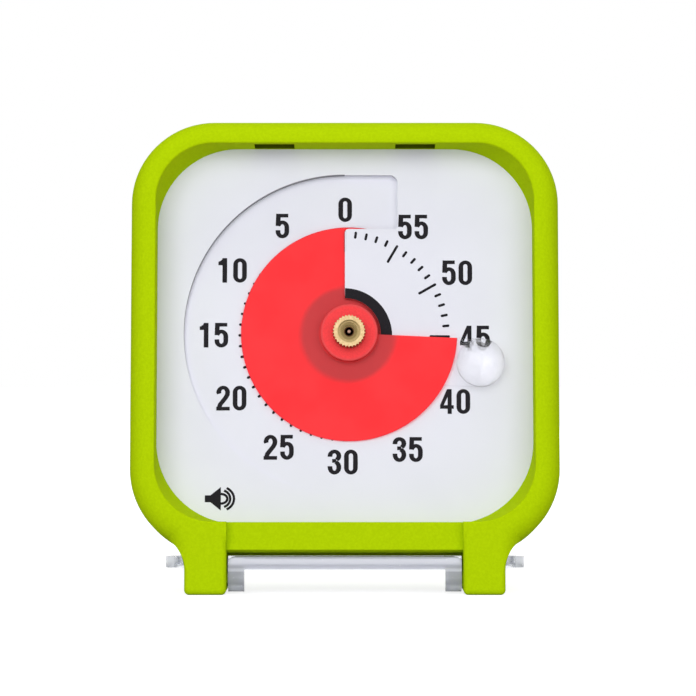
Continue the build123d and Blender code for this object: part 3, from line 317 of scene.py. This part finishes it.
def turned_brass():
    """Lathe rings, painted shade in the nut's step and in the tube's mouth, and darker on the tube's end."""
    finish = Finish("turned_brass")
    reach = finish.from_axis()
    rings = (reach * LATHE_WAVE).sine()
    grain = finish.speckle(0.5, 3.0, 0.6)
    colour = finish.blend(grain.rising(0.3, 0.75), (0.31, 0.22, 0.11), (0.43, 0.32, 0.18))
    # Painted shade in the nut's recessed step.
    step_shade = 1 - reach.rising(NUT_STEP_R - 0.2, NUT_STEP_R)
    tube_end = 1 - reach.rising(TUBE_END_R - 0.15, TUBE_END_R)
    # Painted shade in the tube's mouth.
    mouth_shade = 1 - reach.rising(TUBE_MOUTH_R - 0.15, TUBE_MOUTH_R)
    colour = finish.blend(step_shade * (0.6 + rings * 0.2), colour, (0.13, 0.095, 0.03))
    colour = finish.blend(tube_end * (0.55 - rings * 0.25), colour, (0.06, 0.04, 0.012))
    colour = finish.blend(mouth_shade * 0.9, colour, (0.035, 0.012, 0.006))
    metal = finish.surface(
        colour, 0.3 + grain * 0.16, bumps=rings * 0.4 + grain, bump_mm=0.006, Metallic=1.0
    )
    return finish.done(metal)


PIVOT_R = 0.3


def arbor_end():
    """Dull steel, coloured dark as painted shade, with the bright pivot in the middle of its end."""
    finish = Finish("arbor_end")
    grain = finish.speckle(0.2)
    pivot = 1 - finish.from_axis().rising(PIVOT_R - 0.1, PIVOT_R)
    # Painted shade: the steel is coloured dark brown, as if in the shadow of the tube's mouth.
    steel_in_shade = finish.blend(grain, (0.035, 0.012, 0.008), (0.05, 0.02, 0.012))
    colour = finish.blend(pivot, steel_in_shade, (0.34, 0.20, 0.15))
    return finish.done(finish.surface(colour, 0.45 + grain * 0.2, bumps=grain, bump_mm=0.004, Metallic=0.8))


def bright_steel():
    finish = Finish("bright_steel")
    lines = finish.speckle(0.3, 3.0, 0.6, stretch=(1.0, 0.15, 1.0))
    colour = finish.blend(lines, (0.56, 0.57, 0.59), (0.74, 0.75, 0.77))
    return finish.done(finish.surface(colour, 0.22 + lines * 0.2, bumps=lines, bump_mm=0.004, Metallic=1.0))


# Folded cover, in millimetres back from its front edge and up from its lowest point
BAR_BACK = 11.0  # the bar ends and the clear face starts
BAR_UNDER = 4.4  # the arms' ends stop and the bar starts
ARM_BACK = 5.0  # back of an arm's end
BORE_LOW, BORE_HIGH = 1.2, 4.2  # the hinge bore in it
RIM_W = 2.4


def frosted_cover():
    """Clear moulding. Its face is seen through. Its bar, rim and whatever turns away look milky, as thick
    plastic does. Its bar and the hinge bores in its arms carry painted shade."""
    finish = Finish("frosted_cover")
    flow = finish.speckle(6.0)
    scuffs = finish.speckle(0.35, 3.0, 0.65)
    low, high = (Vector(corner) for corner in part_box("clear_cover"))
    back, rise = finish.along(FLOOR_BACK, low), finish.along(FLOOR_UP, low)
    past_bar = back.rising(BAR_BACK, BAR_BACK + 3.0)
    # Painted shade on the bar.
    bar_shade = (1 - past_bar) * rise.rising(BAR_UNDER, BAR_UNDER + 0.4)
    # Painted shade where the hinge bores lie in the arms' ends.
    bore_shade = rise.band(BORE_LOW, BORE_LOW + 0.8, BORE_HIGH - 0.3, BORE_HIGH)
    bore_shade = bore_shade * (1 - back.rising(ARM_BACK, ARM_BACK + 1.0))
    colour = finish.blend(flow.rising(0.3, 0.7), (0.71, 0.73, 0.815), (0.74, 0.76, 0.84))
    colour = finish.blend(bar_shade * 0.7, colour, (0.47, 0.48, 0.56))
    colour = finish.blend(bore_shade * 0.42, colour, (0.10, 0.11, 0.12))
    milky_plastic = finish.surface(
        colour, 0.14 + scuffs.rising(0.55, 0.8) * 0.2, bumps=flow, bump_mm=0.02,
        Transmission_Weight=0.45, IOR=1.45, Specular_IOR_Level=0.2,
    )
    facing = 1 - finish.turned_away(0.5).rising(0.45, 0.85)
    half = (high.x - low.x) / 2 / MM
    aside = finish.along(RIGHT, (low + high) / 2).size()
    inside_rim = 1 - aside.rising(half - RIM_W, half - RIM_W + 0.8)
    milky = 1 - facing * past_bar * inside_rim * 0.84
    return finish.done(finish.mixed(milky, finish.window((0.955, 0.96, 0.975)), milky_plastic))


def clear_moulding(name, tint, passed, rim):
    """Clear plastic. Part of the light passes straight, as it does through a thin piece, and the piece is
    grey where its surface turns away."""
    finish = Finish(name)
    flow = finish.speckle(6.0)
    scuffs = finish.speckle(0.35, 3.0, 0.65)
    plastic = finish.surface(
        tint, 0.02 + scuffs.rising(0.62, 0.8) * 0.12, bumps=flow, bump_mm=0.02,
        Transmission_Weight=1.0, IOR=1.42,
    )
    body = finish.mixed(passed, plastic, finish.window(tint))
    edge_on = finish.turned_away(0.3).rising(0.3, 0.95)
    return finish.done(finish.mixed(edge_on * rim, body, finish.window((0.55, 0.53, 0.56))))


def grained_plastic(name, dark, pale, grain, roughness, bump_mm):
    """A plain moulded plastic. Its tone and its roughness, between two limits, follow its grain."""
    finish = Finish(name)
    speckle = finish.speckle(*grain)
    smooth, rough = roughness
    colour = finish.blend(speckle, dark, pale)
    return finish.done(finish.surface(colour, smooth + speckle * (rough - smooth), speckle, bump_mm))


def wheel_plastic():
    return grained_plastic(
        "wheel_plastic", (0.66, 0.65, 0.60), (0.76, 0.75, 0.70),
        grain=(0.25,), roughness=(0.4, 0.55), bump_mm=0.006,
    )


def movement_plastic():
    return grained_plastic(
        "movement_plastic", (0.022, 0.023, 0.026), (0.04, 0.041, 0.045),
        grain=(0.4, 3.0, 0.6), roughness=(0.45, 0.65), bump_mm=0.02,
    )


def buzzer_black():
    return grained_plastic(
        "buzzer_black", (0.012, 0.012, 0.013), (0.025, 0.025, 0.027),
        grain=(0.3,), roughness=(0.35, 0.5), bump_mm=0.01,
    )


def nylon_white():
    return grained_plastic(
        "nylon_white", (0.70, 0.69, 0.66), (0.80, 0.79, 0.76),
        grain=(0.2,), roughness=(0.42, 0.52), bump_mm=0.004,
    )


SHEET_WAVE = 24.0  # radians a millimetre


def laminated_steel():
    """Bare steel, with the edges of its stacked sheets."""
    finish = Finish("laminated_steel")
    sheets = (finish.along(BACK) * SHEET_WAVE).sine()
    grain = finish.speckle(0.3)
    colour = finish.blend(grain, (0.34, 0.35, 0.37), (0.48, 0.49, 0.51))
    return finish.done(finish.surface(colour, 0.35 + grain * 0.2, bumps=sheets, bump_mm=0.02, Metallic=1.0))


WINDING_FROM, WINDING_TO = 6.0, 20.0  # millimetres right of the shaft
WIRE_WAVE = 40.0  # radians a millimetre


def copper_winding():
    """Enamelled wire between the bobbin's two black flanges."""
    finish = Finish("copper_winding")
    along = finish.along(RIGHT)
    turns = (along * WIRE_WAVE).sine()
    grain = finish.speckle(0.5)
    wound = along.band(WINDING_FROM, WINDING_FROM + 0.02, WINDING_TO - 0.02, WINDING_TO)
    enamel = finish.blend(grain, (0.50, 0.16, 0.05), (0.68, 0.26, 0.09))
    colour = finish.blend(wound, (0.05, 0.05, 0.055), enamel)
    coil = finish.surface(
        colour, 0.32 + grain * 0.15, bumps=turns * wound, bump_mm=0.03, Metallic=wound * 0.9
    )
    return finish.done(coil)


CHIP_FACE = 22.62  # millimetres behind the lip


def circuit_green():
    """Lacquered board with paler tracks, and its black chip."""
    finish = Finish("circuit_green")
    across, high = finish.along(RIGHT), finish.along(UP)
    bend = finish.speckle(7.0, 0.0)
    tracks = (across * 0.45 + bend * 2.2).sine().size().rising(0.9, 0.96)
    tracks = tracks + (high * 0.5 + bend * 2.0).sine().size().rising(0.93, 0.97)
    chip = finish.along(BACK).rising(CHIP_FACE, CHIP_FACE + 0.06)
    board = finish.blend(tracks.rising(0.2, 0.8), (0.008, 0.10, 0.035), (0.03, 0.22, 0.08))
    colour = finish.blend(chip, board, (0.015, 0.015, 0.017))
    return finish.done(finish.surface(colour, 0.3 + chip * 0.2, bumps=tracks, bump_mm=0.02))


# Along the cell, in millimetres right of the shaft
CELL_BAND = 12.0  # the black wrap ends and the copper band starts
CELL_PLUS = 24.15  # the steel ends
CELL_MINUS = -25.2


def cell_wrap():
    """Printed wrap of a plain cell, with bare steel ends."""
    finish = Finish("cell_wrap")
    along = finish.along(RIGHT)
    gloss = finish.speckle(3.0)
    band = along.rising(CELL_BAND, CELL_BAND + 0.2)
    metal_end = along.rising(CELL_PLUS, CELL_PLUS + 0.05) + (1 - along.rising(CELL_MINUS, CELL_MINUS + 0.1))
    wrap = finish.blend(band, (0.03, 0.03, 0.035), (0.62, 0.36, 0.10))
    colour = finish.blend(metal_end, wrap, (0.66, 0.66, 0.67))
    metallic = (metal_end + band * 0.5).rising(0.0, 1.0)
    wrapped = finish.surface(colour, 0.22 + gloss * 0.12, bumps=gloss, bump_mm=0.01, Metallic=metallic)
    return finish.done(wrapped)


RIB_WAVE = 9.0  # radians a millimetre


def switch_black():
    """Grained plastic with fine ribs for a fingertip."""
    finish = Finish("switch_black")
    ribs = (finish.along(UP) * RIB_WAVE).sine()
    grain = finish.speckle(0.25)
    colour = finish.blend(grain, (0.02, 0.02, 0.022), (0.035, 0.035, 0.038))
    return finish.done(finish.surface(colour, 0.4 + grain * 0.15, bumps=ribs * 0.6 + grain, bump_mm=0.03))


def print_black():
    """Matt ink, a little uneven."""
    finish = Finish("print_black")
    grain = finish.speckle(0.18, 3.0, 0.6)
    colour = finish.blend(grain.rising(0.3, 0.75), (0.011, 0.010, 0.013), (0.018, 0.016, 0.020))
    layer = finish.surface(colour, 0.5 + grain * 0.1, bumps=grain, bump_mm=0.004, Specular_IOR_Level=0.06)
    return finish.done(layer)


green = moulded_green()
white = dial_white()
brass = turned_brass()
steel = bright_steel()
black_case = movement_plastic()
ivory = wheel_plastic()
switch_plastic = switch_black()
ink = print_black()

FINISHES = {
    "front_bezel": green,
    "rear_cover": green,
    "battery_door": green,
    "case_screws": steel,
    "clear_cover": frosted_cover(),
    "dial_plate": white,
    "time_disc": film_red(),
    "disc_tab": clear_moulding("tab_film", (0.98, 0.98, 0.985), passed=0.7, rim=0.7),
    "setting_knob": clear_moulding("knob_plastic", (0.985, 0.985, 0.985), passed=0.3, rim=0.8),
    "disc_hub": hub_red(),
    "hub_washer": nylon_white(),
    "disc_nut": brass,
    "minute_tube": brass,
    "seconds_arbor": arbor_end(),
    "centre_wheel": ivory,
    "third_wheel": ivory,
    "second_wheel": ivory,
    "train_bridge": black_case,
    "movement_front_case": black_case,
    "movement_rear_case": black_case,
    "battery_cell": cell_wrap(),
    "battery_spring": steel,
    "battery_contact": steel,
    "stator": laminated_steel(),
    "rotor": steel,
    "drive_coil": copper_winding(),
    "circuit_board": circuit_green(),
    "buzzer": buzzer_black(),
    "alert_switch_body": switch_plastic,
    "alert_switch_slider": switch_plastic,
}

for node_name, material in FINISHES.items():
    piece = frame["nodes"][node_name]
    for slot in piece.material_slots:
        slot.link = "OBJECT"
        slot.material = material


# ---------------------------------------------------------------- print on the dial

PRINT_LIFT = 0.03  # millimetres of ink
SHARP_BEND = 0.35  # the least cosine at a bend, so that a sharp corner's point isn't drawn out


def dial_sink(x, z):
    """How far the dial lies behind its flat half."""
    if 0 <= x <= NOTCH_W and NOTCH_BOTTOM <= z <= SUNK_R:
        return SINK
    clockwise = degrees(atan2(x, z)) % 360
    if hypot(x, z) > SUNK_R or clockwise < 180:
        return 0.0
    return SINK * (clockwise - 180) / 180


def on_dial(x, z, lift=PRINT_LIFT):
    """A place on the dial's print, in metres."""
    depth = DIAL_DEPTH + dial_sink(x, z) - lift
    return LIP_CENTRE + (RIGHT * x + BACK * depth + UP * z) * MM


def arc(x, z, across, high, start, end, steps=12):
    """Points along part of an ellipse, in degrees anticlockwise from the right."""
    turns = (radians(start + (end - start) * k / steps) for k in range(steps + 1))
    return [(x + across * cos(a), z + high * sin(a)) for a in turns]


def stroke(mesh, points, across, high, round_ends=False, lift=PRINT_LIFT):
    """A printed line on the dial, so wide where it runs up and so wide where it runs across."""
    edges = []
    for k, (x, z) in enumerate(points):
        before, after = points[max(k - 1, 0)], points[min(k + 1, len(points) - 1)]
        coming = Vector((x - before[0], z - before[1]))
        going = Vector((after[0] - x, after[1] - z))
        coming = coming.normalized() if coming.length else going.normalized()
        going = going.normalized() if going.length else coming
        middle = (coming + going).normalized()
        side = Vector((-middle.y * across, middle.x * high)) / (2 * max(SHARP_BEND, middle.dot(coming)))
        edges.append([mesh.verts.new(on_dial(x + s * side.x, z + s * side.y, lift)) for s in (1, -1)])
    for (left, right), (next_left, next_right) in zip(edges, edges[1:]):
        mesh.faces.new((left, right, next_right, next_left))
    if round_ends:
        for (x, z), (inner_x, inner_z) in ((points[0], points[1]), (points[-1], points[-2])):
            outward = degrees(atan2(z - inner_z, x - inner_x))
            fan = arc(x, z, across / 2, high / 2, outward - 90, outward + 90, steps=8)
            mesh.faces.new([mesh.verts.new(on_dial(*point)) for point in fan])


# The figures, drawn 1 high and FIGURE_W wide, up and right from their lower left corner
FIGURE_W = 0.57
LEFT_LINE, RIGHT_LINE, FOOT_LINE, HEAD_LINE = 0.1, 0.47, 0.074, 0.926  # middles of the outer strokes
MIDDLE = (LEFT_LINE + RIGHT_LINE) / 2


def bow(z, high, start, end):
    """Part of a round of a figure, from its left stroke to its right one."""
    return arc(MIDDLE, z, RIGHT_LINE - MIDDLE, high, start, end)


def oval(half_w, end_h, top):
    """An upright loop with rounded ends, as far from the figure's head as from its foot."""
    head = arc(MIDDLE, top - end_h, half_w, end_h, 0, 180)
    return head + arc(MIDDLE, 1 - top + end_h, half_w, end_h, 180, 360)


STROKES = {
    "2": [
        [(LEFT_LINE + 0.02, 0.675)] + bow(HEAD_LINE - 0.2, 0.2, 180, 0)
        + [(RIGHT_LINE - 0.01, 0.64), (RIGHT_LINE - 0.07, 0.53), (0.16, 0.24), (0.115, 0.1)],
        [(0.0, FOOT_LINE), (0.56, FOOT_LINE)],
    ],
    "3": [
        [(LEFT_LINE, 0.715)] + bow(HEAD_LINE - 0.18, 0.18, 180, -60),
        bow(FOOT_LINE + 0.216, 0.216, 75, -180) + [(LEFT_LINE, 0.335)],
        [(0.19, 0.55), (0.36, 0.55)],
    ],
    "5": [
        [(LEFT_LINE + 0.01, HEAD_LINE), (0.53, HEAD_LINE)],
        [(LEFT_LINE + 0.02, 1.0), (LEFT_LINE, 0.5)],
        [(LEFT_LINE, 0.52)] + bow(0.44, 0.21, 140, 0) + bow(FOOT_LINE + 0.2, 0.2, 0, -180)
        + [(LEFT_LINE, 0.33)],
    ],
}
OUTLINES = {
    "1": [
        [(0.235, 0.0), (0.43, 0.0), (0.43, 1.0), (0.235, 1.0)],
        [(0.235, 0.71), (0.064, 0.71), (0.064, 0.85), (0.13, 0.875), (0.2, 0.92), (0.235, 0.99)],
    ],
    "4": [
        [(0.314, 0.0), (0.485, 0.0), (0.485, 1.0), (0.314, 1.0)],
        [(0.0, 0.207), (0.314, 0.207), (0.314, 0.35), (0.0, 0.35)],
        [(0.485, 0.207), (0.57, 0.207), (0.57, 0.35), (0.485, 0.35)],
        [(0.0, 0.35), (0.153, 0.35), (0.314, 0.68), (0.314, 1.0), (0.29, 1.0)],
    ],
}
NAUGHT = oval(0.285, 0.27, 1.0), oval(0.088, 0.09, 0.85)  # outside and inside

# Sizes of the figures, in millimetres
FIGURE_H = 4.45
FIGURE_SCALE = 4.29  # millimetres to 1 across
FIGURE_STEP = 0.685 * FIGURE_SCALE
UPRIGHT_T = 0.195 * FIGURE_SCALE
LEVEL_T = 0.148 * FIGURE_H
STROKE_LIFT = 0.006  # each stroke of a figure over the one before

# Middle of each number, in millimetres across and up from the dial's centre
NUMBERS = {
    "0": (0.05, 22.69), "5": (-11.25, 19.69), "10": (-20.31, 11.6), "15": (-23.6, -0.15),
    "20": (-20.29, -11.5), "25": (-11.8, -20.34), "30": (-0.39, -23.0), "35": (11.2, -20.76),
    "40": (19.69, -12.15), "45": (23.28, -0.74), "50": (20.14, 11.05), "55": (12.26, 19.35),
}


def made_piece(name, mesh, material):
    """An object in the scene from mesh code."""
    data = bpy.data.meshes.new(name)
    mesh.to_mesh(data)
    mesh.free()
    data.materials.append(material)
    piece = bpy.data.objects.new(name, data)
    bpy.context.scene.collection.objects.link(piece)
    return piece


def printed(name, mesh):
    """A piece of print, which rides on the case."""
    piece = made_piece(name, mesh, ink)
    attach(piece, "case")


def figure_print(mesh, figure, left, middle):
    """One figure, by its left side and the middle of its height."""

    def placed(points):
        return [(left + x * FIGURE_SCALE, middle + (z - 0.5) * FIGURE_H) for x, z in points]

    for layer, points in enumerate(STROKES.get(figure, [])):
        stroke(mesh, placed(points), UPRIGHT_T, LEVEL_T, lift=PRINT_LIFT + layer * STROKE_LIFT)
    for points in OUTLINES.get(figure, []):
        mesh.faces.new([mesh.verts.new(on_dial(*point)) for point in placed(points)])
    if figure == "0":
        outer, inner = ([mesh.verts.new(on_dial(*point)) for point in placed(loop)] for loop in NAUGHT)
        for k in range(len(outer)):
            mesh.faces.new((outer[k - 1], outer[k], inner[k], inner[k - 1]))


def dial_numbers():
    mesh = bmesh.new()
    for number, (x, z) in NUMBERS.items():
        width = FIGURE_STEP * (len(number) - 1) + FIGURE_W * FIGURE_SCALE
        for place, figure in enumerate(number):
            figure_print(mesh, figure, x - width / 2 + place * FIGURE_STEP, z)
    printed("dial_numbers", mesh)


# Minute marks and the ring round the hole, which are printed a little off the dial's centre
PRINT_X, PRINT_Z = -0.14, -0.33
PRINT_TURN = 0.44  # degrees clockwise
TICK_OUTER = 18.96
TICK_INNER = 17.66
LONG_TICK_INNER = 15.3
TICK_W = 0.46
RING_OUTER = 8.6
RING_GAP = 0.2  # degrees between the slit and each end of the ring
RING_STEPS = 120


def minute_marks():
    mesh = bmesh.new()
    for minute in range(60):
        angle = radians(-6 * minute + PRINT_TURN)
        inner = LONG_TICK_INNER if minute % 5 == 0 else TICK_INNER
        reaches = (inner + TICK_W / 2, TICK_OUTER - TICK_W / 2)
        ends = [(PRINT_X + r * sin(angle), PRINT_Z + r * cos(angle)) for r in reaches]
        stroke(mesh, ends, TICK_W, TICK_W, round_ends=True)
    printed("minute_marks", mesh)


def hub_ring():
    """The black ring printed round the dial's centre hole. It stops at the slit."""
    mesh = bmesh.new()
    pairs = []
    for k in range(RING_STEPS + 1):
        angle = radians(RING_GAP + (360 - 2 * RING_GAP) * k / RING_STEPS)
        towards = PRINT_X * sin(angle) + PRINT_Z * cos(angle)
        outer = towards + (towards**2 - PRINT_X**2 - PRINT_Z**2 + RING_OUTER**2) ** 0.5
        pairs.append([mesh.verts.new(on_dial(r * sin(angle), r * cos(angle))) for r in (HOLE_R, outer)])
    for near, far in zip(pairs, pairs[1:]):
        mesh.faces.new((near[0], near[1], far[1], far[0]))
    printed("hub_ring_print", mesh)


SPEAKER_X, SPEAKER_Z = -22.23, -29.55
HORN_MOUTH = 0.15  # right of the mark's middle
HORN = [(-2.7, 0.62), (-1.7, 0.62), (HORN_MOUTH, 2.1), (HORN_MOUTH, -2.1), (-1.7, -0.62), (-2.7, -0.62)]
WAVES = ((1.17, 0.86, 90), (1.68, 1.55, 70), (2.35, 2.12, 64))  # reach across, reach up, degrees each way
WAVE_W = 0.43


def speaker_mark():
    """The small mark of a speaker with three sound waves."""
    mesh = bmesh.new()
    mesh.faces.new([mesh.verts.new(on_dial(SPEAKER_X + x, SPEAKER_Z + z)) for x, z in HORN])
    for across, high, spread in WAVES:
        wave = arc(SPEAKER_X + HORN_MOUTH, SPEAKER_Z, across, high, -spread, spread)
        stroke(mesh, wave, WAVE_W, WAVE_W)
    printed("speaker_mark", mesh)


LIP_FROM, LIP_TO = 0.04, 0.32  # outside the film's rim
LIP_FRONT, LIP_BACK = 0.02, 0.25  # behind the notch's floor
LIP_LEFT = 0.02  # right of the dial's centre, at the film's rim
LIP_RIGHT = 5.2  # right of the shaft, at the notch's bottom
LIP_STEPS = 24


def notch_lip():
    """The thin edge of the notch's floor, which comes up to the film's rim."""
    mesh = bmesh.new()
    start, end = atan2(LIP_LEFT - SHAFT_X, FILM_R), atan2(LIP_RIGHT, NOTCH_BOTTOM)
    section = ((LIP_FROM, LIP_FRONT), (LIP_TO, LIP_FRONT), (LIP_TO, LIP_BACK), (LIP_FROM, LIP_BACK))
    rows = []
    for k in range(LIP_STEPS + 1):
        angle = start + (end - start) * k / LIP_STEPS
        outward = RIGHT * sin(angle) + UP * cos(angle)
        rows.append([
            mesh.verts.new(SHAFT + (outward * (FILM_R + gap) + BACK * (DIAL_DEPTH + SINK + back)) * MM)
            for gap, back in section
        ])
    for before, after in zip(rows, rows[1:]):
        for k in range(len(section)):
            mesh.faces.new((before[k], before[k - 1], after[k - 1], after[k]))
    mesh.faces.new(rows[0])
    mesh.faces.new(reversed(rows[-1]))
    bmesh.ops.recalc_face_normals(mesh, faces=mesh.faces)
    piece = made_piece("notch_lip", mesh, white)
    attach(piece, "case")


dial_numbers()
minute_marks()
notch_lip()
hub_ring()
speaker_mark()


# ---------------------------------------------------------------- studio

# Strengths of white light
AMBIENT = 0.4
FLOOR_GLOW = 0.82

# Places and sizes in metres, and powers in watts
FLOOR_HALF = 3.0
FLOOR_DROP = 0.00005  # under the feet, so that they don't cut it
AIM = Vector((0, -0.03, 0.045))  # on the dial
LAMPS = {  # place, side and power
    "key_softbox": ((-0.32, -0.98, 0.42), 0.8, 5.8),
    "fill_softbox": ((0.35, -1.0, 0.2), 0.8, 4.3),
    "top_softbox": ((0.0, -0.1, 1.0), 0.5, 2.0),
    "rear_softbox": ((0.25, 1.0, 0.5), 0.8, 4.5),
}
VIEW_ASIDE = 0.00056
VIEW_DISTANCE = 0.587  # in front of the dial's lip
VIEW_HEIGHT = 0.0434
FOCAL_PIXELS = 3316
IMAGE_PIXELS = 696


def pale_floor():
    """A plain white floor that keeps the timer's shadow."""
    finish = Finish("pale_floor")
    seen = finish.ray("Camera").either(finish.ray("Glossy")).either(finish.ray("Transmission"))
    grain = finish.speckle(4.0)
    shade = finish.node(
        "ShaderNodeBsdfDiffuse", {}, {"Color": finish.blend(grain, (0.50, 0.50, 0.50), (0.52, 0.52, 0.52))}
    )
    glow = finish.node("ShaderNodeEmission", {}, {"Color": (1, 1, 1, 1), "Strength": seen * FLOOR_GLOW})
    material = finish.done(finish.node("ShaderNodeAddShader", {}, {0: shade, 1: glow}))
    mesh = bmesh.new()
    bmesh.ops.create_grid(mesh, x_segments=8, y_segments=8, size=FLOOR_HALF)
    floor = made_piece("floor", mesh, material)
    floor.location.z = -FLOOR_DROP


def white_room():
    """An even world that looks white where it is seen, and lights the timer less."""
    world = bpy.data.worlds.new("white_room")
    bpy.context.scene.world = world
    room = Nodes(world)
    seen = room.ray("Camera").either(room.ray("Transmission"))
    light = room.node(
        "ShaderNodeBackground", {}, {"Color": (1, 1, 1, 1), "Strength": AMBIENT + seen * (1 - AMBIENT)}
    )
    room.node("ShaderNodeOutputWorld", {}, {"Surface": light}, out=None)


def softbox(name, place, size, power):
    """A square lamp that faces the timer."""
    lamp = bpy.data.lights.new(name, "AREA")
    lamp.shape = "SQUARE"
    lamp.size = size
    lamp.energy = power
    box = bpy.data.objects.new(name, lamp)
    box.location = place
    box.rotation_euler = (AIM - Vector(place)).to_track_quat("-Z", "Y").to_euler()
    bpy.context.scene.collection.objects.link(box)


def viewpoint():
    """The camera, level with the timer and straight in front of it."""
    camera = bpy.data.cameras.new("camera")
    camera.sensor_fit = "HORIZONTAL"
    camera.sensor_width = 36.0
    camera.lens = camera.sensor_width * FOCAL_PIXELS / IMAGE_PIXELS
    camera.clip_start = 0.01
    camera.clip_end = 20.0
    seat = bpy.data.objects.new("camera", camera)
    seat.location = (VIEW_ASIDE, LIP_CENTRE.y - VIEW_DISTANCE, VIEW_HEIGHT)
    seat.rotation_euler = (radians(90), 0, 0)
    bpy.context.scene.collection.objects.link(seat)
    bpy.context.scene.camera = seat


pale_floor()
white_room()
for lamp_name, (place, size, power) in LAMPS.items():
    softbox(lamp_name, place, size, power)
viewpoint()

bpy.context.scene.view_settings.view_transform = "Standard"
